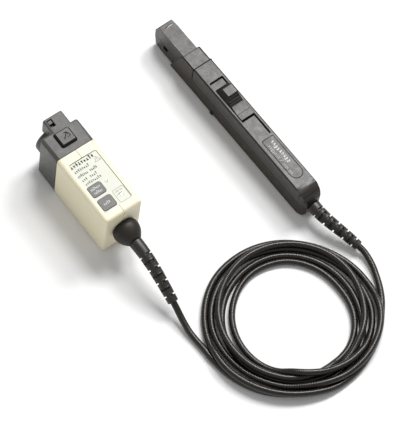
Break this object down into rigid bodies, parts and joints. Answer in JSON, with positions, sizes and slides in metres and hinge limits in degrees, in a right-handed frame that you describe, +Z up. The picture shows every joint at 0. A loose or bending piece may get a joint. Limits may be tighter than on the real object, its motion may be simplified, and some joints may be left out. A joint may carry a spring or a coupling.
{
  "type": "current probe",
  "caption": "Oscilloscope current probe: slim head with a sliding jaw around a conductor opening, ribbed boots, coiled cable and a compensation box with latch and keys.",
  "frame": {"origin": "middle of the probe head's flat underside", "axes": "+X along the head towards the jaw tip, +Y towards the compensation box, +Z up"},
  "size_m": [0.3459, 0.1759, 0.0574],
  "materials": {
    "head_plastic": "finely textured dark grey moulded plastic",
    "jaw_plastic": "finely textured dark grey moulded plastic",
    "black_plastic": "black moulded plastic",
    "cream_plastic": "cream moulded plastic",
    "label_film": "pale printed film",
    "key_rubber": "grey silicone",
    "boot_rubber": "black moulded rubber",
    "cable_jacket": "black cable jacket with a fine woven surface",
    "steel": "bright steel",
    "brass": "gold plated",
    "copper": "enamelled copper wire",
    "ferrite": "sintered ferrite",
    "board_green": "solder resist",
    "clear_lens": "clear moulded light guide"
  },
  "bodies": {
    "probe": {"head_lower_shell": "head_plastic", "head_top_cover": "head_plastic", "head_screw_1": "steel", "head_screw_2": "steel", "lower_jaw": "jaw_plastic", "lower_core": "ferrite", "sense_winding": "copper", "field_sensor": "black_plastic", "head_label_plate": "head_plastic", "head_circuit_board": "board_green", "head_amplifier_chip": "black_plastic", "head_trimmer": "cream_plastic", "detent_spring": "steel", "head_cable_clamp": "black_plastic", "head_boot": "boot_rubber", "head_boot_anchor": "boot_rubber", "box_shell_near": "cream_plastic", "box_shell_far": "cream_plastic", "box_screw_1": "steel", "box_screw_2": "steel", "box_screw_3": "steel", "box_screw_4": "steel", "label_panel": "label_film", "menu_switch": "black_plastic", "degauss_switch": "black_plastic", "status_light": "clear_lens", "key_circuit_board": "board_green", "main_circuit_board": "board_green", "shield_can": "steel", "degauss_relay": "black_plastic", "box_cable_clamp": "black_plastic", "connector_housing": "black_plastic", "bnc_shell": "steel", "bnc_insulator": "cream_plastic", "bnc_centre_pin": "brass", "contact_block": "cream_plastic", "contact_pin_1": "brass", "contact_pin_2": "brass", "contact_pin_3": "brass", "contact_pin_4": "brass", "latch_pin": "steel", "latch_spring": "steel", "cable_dome": "boot_rubber", "box_boot": "boot_rubber", "box_lead": "cable_jacket", "head_lead": "cable_jacket", "cable_coil": "cable_jacket"},
    "jaw": {"jaw_slide": "jaw_plastic", "thumb_slider": "head_plastic", "upper_core": "ferrite"},
    "latch_key": {"latch_button": "black_plastic"},
    "latch_arm": {"latch_lever": "black_plastic"},
    "degauss_key": {"degauss_button": "key_rubber"},
    "menu_key": {"menu_button": "key_rubber"}
  },
  "joints": [
    {"name": "jaw_travel", "type": "slide", "parent": "probe", "child": "jaw", "axis": [-1, 0, 0], "range_m": [0, 0.0186]},
    {"name": "latch_press", "type": "slide", "parent": "probe", "child": "latch_key", "axis": [0, 0, -1], "range_m": [0, 0.0012], "stiffness_N_per_m": 1500, "springref_m": -0.0005, "deforming": ["latch_spring"]},
    {"name": "latch_arm_turn", "type": "hinge", "parent": "probe", "child": "latch_arm", "pos_m": [0.04254, 0.14378, 0.0492], "axis": [0.0222, 0.9998, 0], "range_deg": [0, 7.8]},
    {"name": "degauss_press", "type": "slide", "parent": "probe", "child": "degauss_key", "axis": [0, 0, -1], "range_m": [0, 0.0005], "stiffness_N_per_m": 2500, "springref_m": -0.0002},
    {"name": "menu_press", "type": "slide", "parent": "probe", "child": "menu_key", "axis": [0, 0, -1], "range_m": [0, 0.0005], "stiffness_N_per_m": 2500, "springref_m": -0.0002}
  ],
  "couplings": [
    {"joint": "latch_arm_turn", "follows": "latch_press", "rad_per_m": 111.1}
  ]
}
